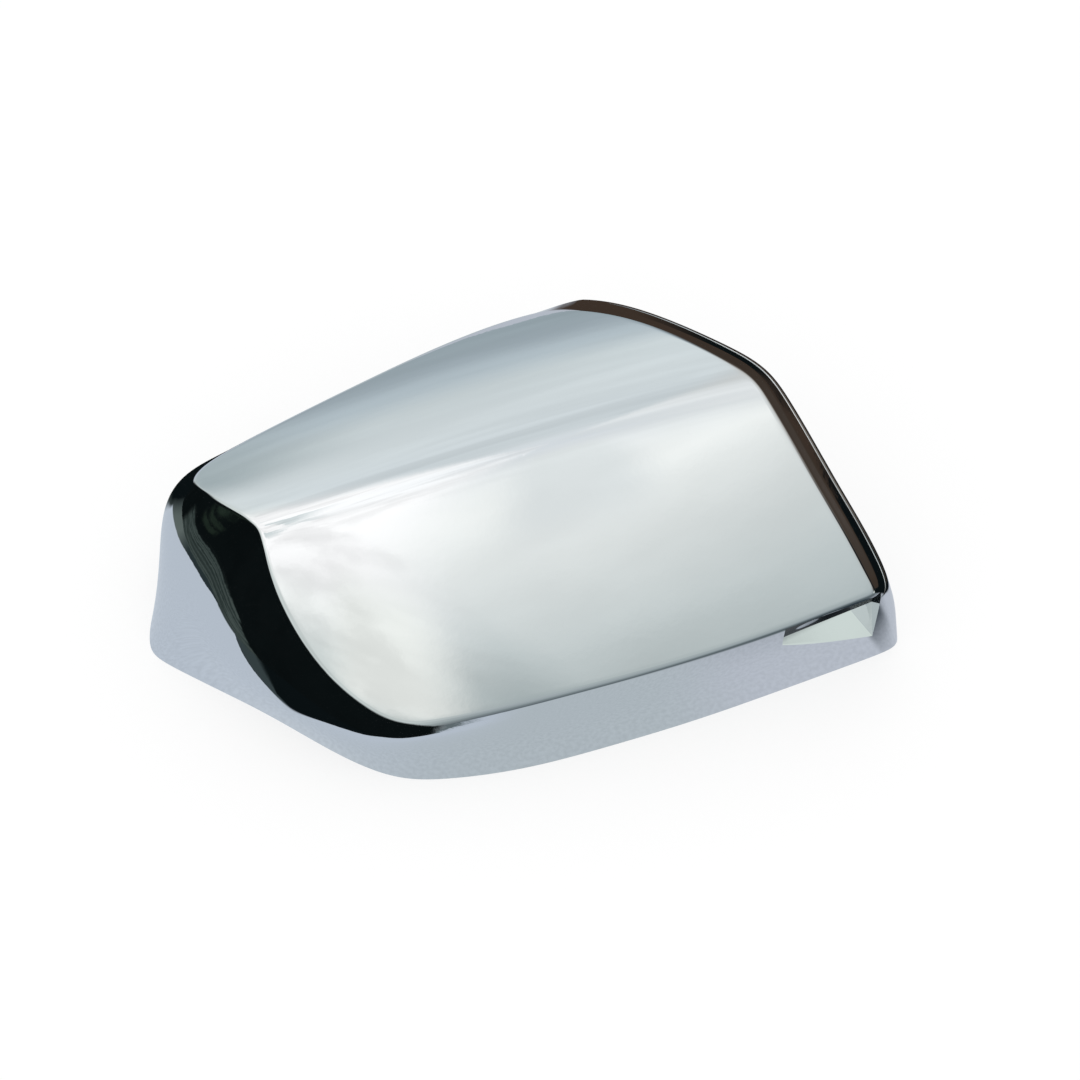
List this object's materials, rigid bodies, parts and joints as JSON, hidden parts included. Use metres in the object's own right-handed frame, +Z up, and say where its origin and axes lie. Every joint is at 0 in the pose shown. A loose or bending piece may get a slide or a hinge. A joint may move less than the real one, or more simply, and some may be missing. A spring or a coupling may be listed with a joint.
{
  "type": "wing mirror cover",
  "caption": "Chrome-plated wing mirror cover: a deep rounded cap, open below, with a creased face, a sloped grooved flange and a small wedge recess.",
  "frame": {"origin": "centre of the rim plane's bounding box, on the plane that the rim lies on", "axes": "+X along the long near edge towards the flanged inboard end, +Y across towards the far edge, +Z up through the face, away from the open side"},
  "size_m": [0.249, 0.1524, 0.0795],
  "materials": {
    "chrome": "bright chrome plating on a moulded plastic shell, smooth outside, a little duller inside"
  },
  "bodies": {
    "root": {"cover_shell": "chrome"}
  },
  "joints": []
}
